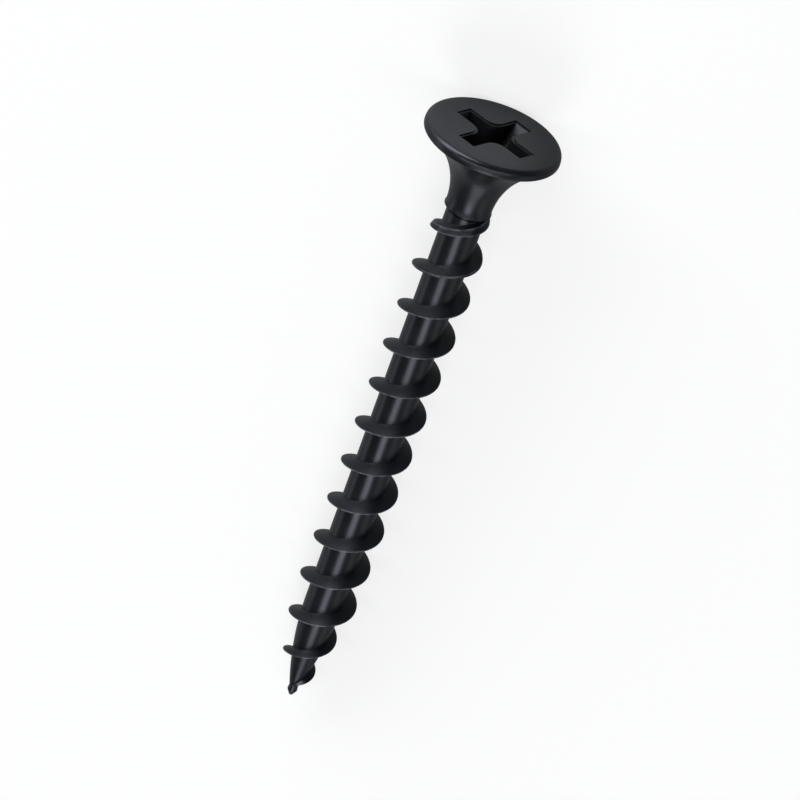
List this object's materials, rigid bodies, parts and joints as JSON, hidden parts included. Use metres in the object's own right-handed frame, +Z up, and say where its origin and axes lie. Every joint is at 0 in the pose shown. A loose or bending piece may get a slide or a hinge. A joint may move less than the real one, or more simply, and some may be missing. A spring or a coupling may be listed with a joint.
{
  "type": "drywall screw",
  "caption": "Bugle-head drywall screw with a cross recess, coarse right-hand thread and sharp point, in black phosphated steel, lying on its side.",
  "frame": {"origin": "on the surface that the screw lies on, below the middle of its box", "axes": "+X towards the head along the screw as it lies, +Z up, +Y to the side"},
  "size_m": [0.0412, 0.0082, 0.0082],
  "materials": {
    "black_phosphate": "satin black phosphate coating on case-hardened steel, lightly oiled"
  },
  "bodies": {
    "root": {"screw": "black_phosphate"}
  },
  "joints": []
}
